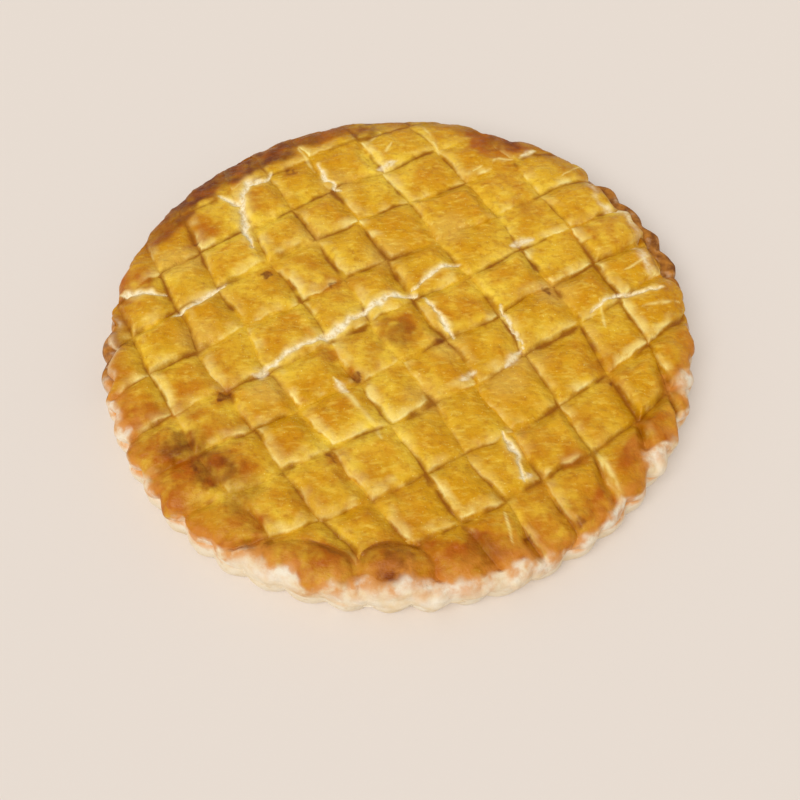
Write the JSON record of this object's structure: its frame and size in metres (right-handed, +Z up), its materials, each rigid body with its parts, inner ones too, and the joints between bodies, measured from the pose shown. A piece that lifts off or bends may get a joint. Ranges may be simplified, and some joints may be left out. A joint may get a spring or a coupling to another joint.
{
  "type": "apple pie",
  "caption": "Round baked apple pie with a fluted pastry wall and a golden glazed lid woven from flat dough strips.",
  "frame": {"origin": "centre of the flat base", "axes": "+Z up through the lid, -Y towards the front as seen in the picture, +X to the right"},
  "size_m": [0.26, 0.2594, 0.0247],
  "materials": {
    "bare_pastry": "pale baked pastry, matte",
    "glazed_pastry": "egg-washed golden pastry, satin"
  },
  "bodies": {
    "root": {"pastry_case": "bare_pastry", "strip_across_1": "glazed_pastry", "strip_across_2": "glazed_pastry", "strip_across_3": "glazed_pastry", "strip_across_4": "glazed_pastry", "strip_across_5": "glazed_pastry", "strip_across_6": "glazed_pastry", "strip_across_7": "glazed_pastry", "strip_across_8": "glazed_pastry", "strip_across_9": "glazed_pastry", "strip_across_10": "glazed_pastry", "strip_down_1": "glazed_pastry", "strip_down_2": "glazed_pastry", "strip_down_3": "glazed_pastry", "strip_down_4": "glazed_pastry", "strip_down_5": "glazed_pastry", "strip_down_6": "glazed_pastry", "strip_down_7": "glazed_pastry", "strip_down_8": "glazed_pastry", "strip_down_9": "glazed_pastry", "strip_down_10": "glazed_pastry"}
  },
  "joints": []
}
